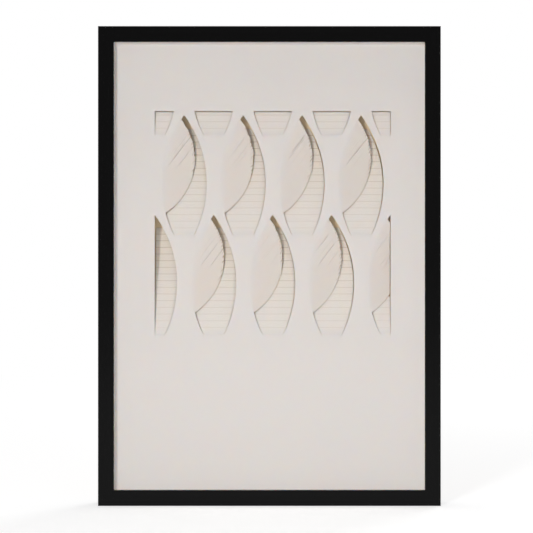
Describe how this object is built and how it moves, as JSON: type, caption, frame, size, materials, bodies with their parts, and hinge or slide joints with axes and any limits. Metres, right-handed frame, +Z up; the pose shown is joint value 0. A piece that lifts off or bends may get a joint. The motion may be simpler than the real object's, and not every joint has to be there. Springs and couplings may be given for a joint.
{
  "type": "framed paper relief in a shadow box",
  "caption": "Deep black box frame with glass over a sheet of heavy ivory paper, cut and folded into a relief of pleated leaf windows; hangers and bumpers on the back.",
  "frame": {"origin": "middle of the base of the bounding box, under the bottom rail", "axes": "+X to the right seen from the front, +Y to the back, +Z up along the long side"},
  "size_m": [0.5, 0.0488, 0.7],
  "materials": {
    "black_wood": "satin black paint on wood",
    "clear_glass": "clear picture glass",
    "ivory_paper": "matt heavy paper",
    "ivory_strip": "matt wrapped board",
    "foam_board": "matt white board",
    "tan_board": "matt tan board",
    "hardboard": "smooth brown hardboard",
    "zinc_steel": "zinc-plated steel",
    "grey_rubber": "soft dark rubber"
  },
  "bodies": {
    "root": {"rail_bottom": "black_wood", "rail_left": "black_wood", "rail_top": "black_wood", "rail_right": "black_wood", "glazing": "clear_glass", "spacer_bottom": "ivory_strip", "spacer_left": "ivory_strip", "spacer_top": "ivory_strip", "spacer_right": "ivory_strip", "relief_sheet": "ivory_paper", "riser_bottom": "foam_board", "riser_left": "foam_board", "riser_top": "foam_board", "riser_right": "foam_board", "mount_board": "tan_board", "backing_board": "hardboard", "backing_points": "zinc_steel", "corner_nails": "zinc_steel", "hanger_left": "zinc_steel", "hanger_right": "zinc_steel", "hanger_screws": "zinc_steel", "bumper_left": "grey_rubber", "bumper_right": "grey_rubber"}
  },
  "joints": []
}
